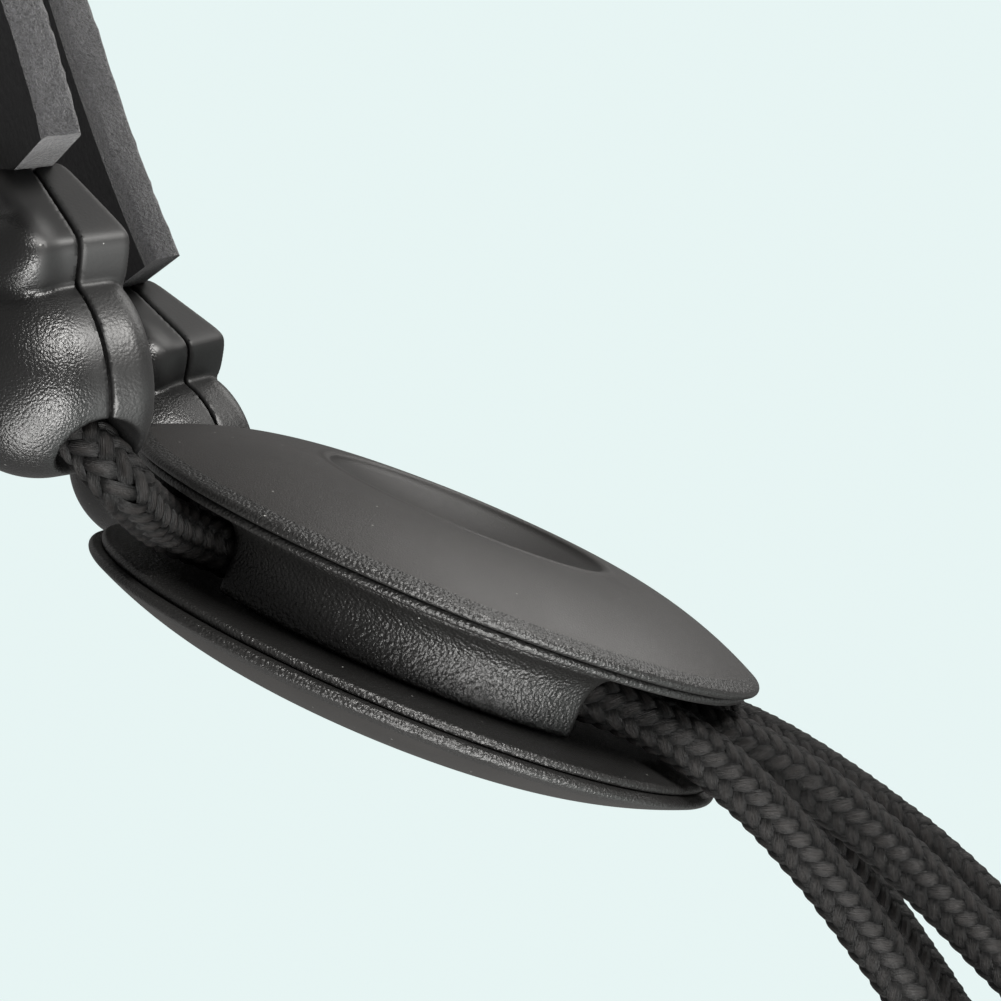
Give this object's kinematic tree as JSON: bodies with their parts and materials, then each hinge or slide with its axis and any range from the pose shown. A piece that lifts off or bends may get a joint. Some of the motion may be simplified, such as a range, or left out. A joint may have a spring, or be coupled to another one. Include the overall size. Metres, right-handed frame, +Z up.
{
  "type": "instrument neck strap",
  "caption": "Neck strap for a wind instrument: leather band with padded back, moulded cord clamps, round cord slider on a braided cord, and a swivel hook with a sprung gate.",
  "frame": {"origin": "underside of the neck pad at the back of the neck, where the strap hangs on the wearer", "axes": "+Z up as worn, -Y to the front, +X towards the wearer's left"},
  "size_m": [0.1742, 0.1625, 0.365],
  "materials": {
    "leather": "black leather, smooth face, raw grainy cut edges",
    "pad_lining": "soft black suede lining",
    "grained_plastic": "black moulded plastic with a leather grain",
    "satin_plastic": "black satin moulded plastic",
    "textured_plastic": "black plastic with a coarse eroded texture",
    "cord_braid": "glossy black multifilament braid",
    "screw_steel": "plated steel"
  },
  "bodies": {
    "yoke": {"neck_band": "leather", "neck_pad": "pad_lining", "right_clamp_front_shell": "grained_plastic", "right_clamp_back_shell": "satin_plastic", "left_clamp_front_shell": "grained_plastic", "left_clamp_back_shell": "satin_plastic", "right_end_knot": "cord_braid", "left_end_knot": "cord_braid", "cord_upper_right": "cord_braid", "cord_upper_left": "cord_braid"},
    "slider": {"back_cap": "satin_plastic", "guide_body": "textured_plastic", "cover_plate": "textured_plastic", "front_cap": "satin_plastic", "cover_screws": "screw_steel", "cord_lower": "cord_braid"},
    "hook_eye": {"cord_eye": "satin_plastic"},
    "hook": {"swivel_pin": "screw_steel", "swivel_washer": "screw_steel", "hook_body": "satin_plastic", "gate_pin": "screw_steel", "gate_spring": "screw_steel"},
    "gate": {"hook_gate": "satin_plastic"}
  },
  "joints": [
    {"name": "slider_slide", "type": "slide", "parent": "yoke", "child": "slider", "axis": [0, 0.5358, -0.8443], "range_m": [0, 0.05], "deforming": ["cord_upper_right", "cord_upper_left"]},
    {"name": "hook_slide", "type": "slide", "parent": "slider", "child": "hook_eye", "axis": [0, 0.5358, -0.8443], "range_m": [-0.025, 0], "deforming": ["cord_lower"]},
    {"name": "hook_swivel", "type": "hinge", "parent": "hook_eye", "child": "hook", "pos_m": [0, -0.1037, -0.3], "axis": [0, 0, 1], "continuous": true},
    {"name": "gate_hinge", "type": "hinge", "parent": "hook", "child": "gate", "pos_m": [0.0072, -0.1037, -0.3168], "axis": [0, 1, 0], "range_deg": [0, 30], "stiffness_Nm_per_rad": 0.02, "springref_deg": -17.19}
  ],
  "couplings": [
    {"joint": "hook_slide", "follows": "slider_slide", "ratio": -0.5}
  ]
}
